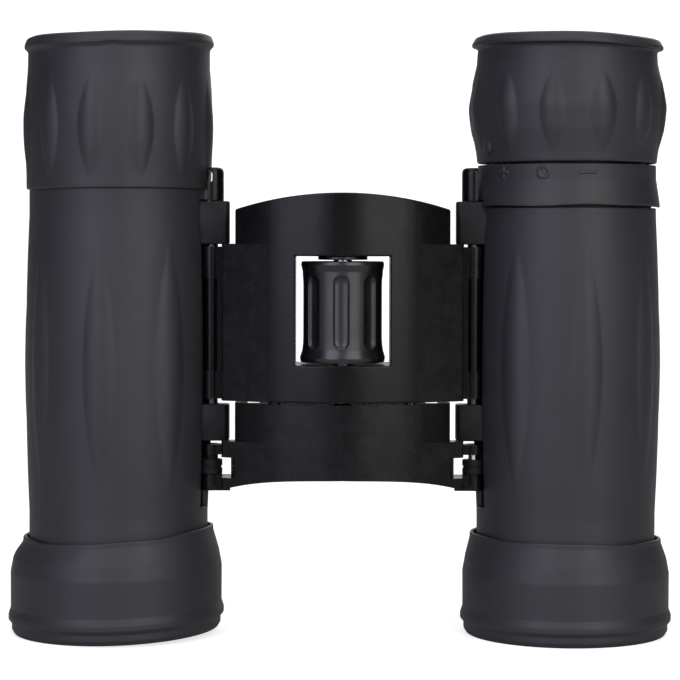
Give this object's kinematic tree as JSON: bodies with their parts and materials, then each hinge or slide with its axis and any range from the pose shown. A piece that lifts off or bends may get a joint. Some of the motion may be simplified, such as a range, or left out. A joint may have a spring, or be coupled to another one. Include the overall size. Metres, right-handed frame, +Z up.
{
  "type": "folding compact binoculars",
  "caption": "Compact double-hinged roof-prism binoculars with rubber-armoured barrels, a central focus wheel in a windowed bridge and a diopter ring on the right eyepiece.",
  "frame": {"origin": "midway between the barrels, on the plane that the two objective guards stand on", "axes": "+Z up along the optical axes towards the eyepieces, +X to the right barrel, -Y towards the side with the convex bridge and focus wheel"},
  "size_m": [0.1088, 0.0348, 0.0982],
  "materials": {
    "rubber_armour": "soft-touch moulded rubber, charcoal with a faint blue-violet tint, very fine matt grain",
    "moulded_casing": "glass-filled moulded plastic, matt near-black",
    "bridge_plastic": "satin moulded plastic, near-black",
    "wheel_rubber": "moulded rubber, near-black, slightly glossy from handling",
    "matt_inner_black": "flat black anti-reflection finish",
    "spring_steel": "drawn or turned steel, bare",
    "blackened_steel": "black oxide steel, satin",
    "brass": "turned brass, bare",
    "clear_glass": "polished optical glass",
    "coated_glass": "polished optical glass with a purple anti-reflection coating"
  },
  "bodies": {
    "bridge": {"bridge_frame": "bridge_plastic", "bridge_back_cover": "moulded_casing", "cover_screw_1": "spring_steel", "cover_screw_2": "spring_steel", "cover_screw_3": "spring_steel", "cover_screw_4": "spring_steel", "left_hinge_rod": "blackened_steel", "right_hinge_rod": "blackened_steel", "left_guide_rod": "spring_steel", "right_guide_rod": "spring_steel"},
    "focus_wheel": {"focus_wheel_core": "bridge_plastic", "focus_wheel_grip": "wheel_rubber", "focus_washer": "blackened_steel", "focus_spindle": "spring_steel"},
    "focus_bridge": {"focus_bridge": "bridge_plastic", "focus_nut": "brass", "left_focus_pin": "spring_steel", "right_focus_pin": "spring_steel"},
    "left_barrel": {"left_barrel_housing": "moulded_casing", "left_armour_sleeve": "rubber_armour", "left_objective_guard": "rubber_armour", "left_prism_cage": "matt_inner_black", "left_roof_prism": "clear_glass", "left_half_penta_prism": "clear_glass", "left_prism_clip": "spring_steel", "left_eyepiece_tube": "moulded_casing", "left_field_stop": "matt_inner_black", "left_hinge_cap": "bridge_plastic", "left_field_lens": "clear_glass", "left_eye_lens": "coated_glass", "left_eyepiece_retainer": "matt_inner_black", "left_eyecup": "rubber_armour"},
    "left_objective": {"left_objective_cell": "matt_inner_black", "left_objective_crown_lens": "coated_glass", "left_objective_flint_lens": "clear_glass", "left_objective_retainer": "matt_inner_black"},
    "diopter_grip": {"right_eyecup": "rubber_armour", "right_diopter_core": "moulded_casing"},
    "right_ocular": {"right_ocular_cell": "matt_inner_black", "right_field_lens": "clear_glass", "right_eye_lens": "coated_glass", "right_eyepiece_retainer": "matt_inner_black"},
    "right_barrel": {"right_barrel_housing": "moulded_casing", "right_armour_sleeve": "rubber_armour", "right_objective_guard": "rubber_armour", "right_prism_cage": "matt_inner_black", "right_roof_prism": "clear_glass", "right_half_penta_prism": "clear_glass", "right_prism_clip": "spring_steel", "right_eyepiece_tube": "moulded_casing", "right_field_stop": "matt_inner_black", "right_hinge_cap": "bridge_plastic", "right_diopter_skirt": "rubber_armour"},
    "right_objective": {"right_objective_cell": "matt_inner_black", "right_objective_crown_lens": "coated_glass", "right_objective_flint_lens": "clear_glass", "right_objective_retainer": "matt_inner_black"}
  },
  "joints": [
    {"name": "left_fold", "type": "hinge", "parent": "bridge", "child": "left_barrel", "pos_m": [-0.02146, -0.0035, 0.052], "axis": [0, 0, -1], "range_deg": [0, 90]},
    {"name": "right_fold", "type": "hinge", "parent": "bridge", "child": "right_barrel", "pos_m": [0.02146, -0.0035, 0.052], "axis": [0, 0, 1], "range_deg": [0, 90]},
    {"name": "focus_slide", "type": "slide", "parent": "bridge", "child": "focus_bridge", "axis": [0, 0, -1], "range_m": [0, 0.0025]},
    {"name": "focus_turn", "type": "hinge", "parent": "bridge", "child": "focus_wheel", "pos_m": [0, -0.00975, 0.0532], "axis": [0, 0, 1], "range_deg": [0, 360]},
    {"name": "left_objective_slide", "type": "slide", "parent": "left_barrel", "child": "left_objective", "axis": [0, 0, -1], "range_m": [0, 0.0025]},
    {"name": "right_objective_slide", "type": "slide", "parent": "right_barrel", "child": "right_objective", "axis": [0, 0, -1], "range_m": [0, 0.0025]},
    {"name": "ocular_slide", "type": "slide", "parent": "right_barrel", "child": "right_ocular", "axis": [0, 0, 1], "range_m": [0, 0.0008]},
    {"name": "diopter_turn", "type": "hinge", "parent": "right_barrel", "child": "diopter_grip", "pos_m": [0.037, 0, 0.086], "axis": [0, 0, 1], "range_deg": [0, 85]}
  ],
  "couplings": [
    {"joint": "focus_turn", "follows": "focus_slide", "rad_per_m": 2513.3},
    {"joint": "left_objective_slide", "follows": "focus_slide", "ratio": 1},
    {"joint": "right_objective_slide", "follows": "focus_slide", "ratio": 1},
    {"joint": "diopter_turn", "follows": "ocular_slide", "rad_per_m": 1854.4}
  ]
}
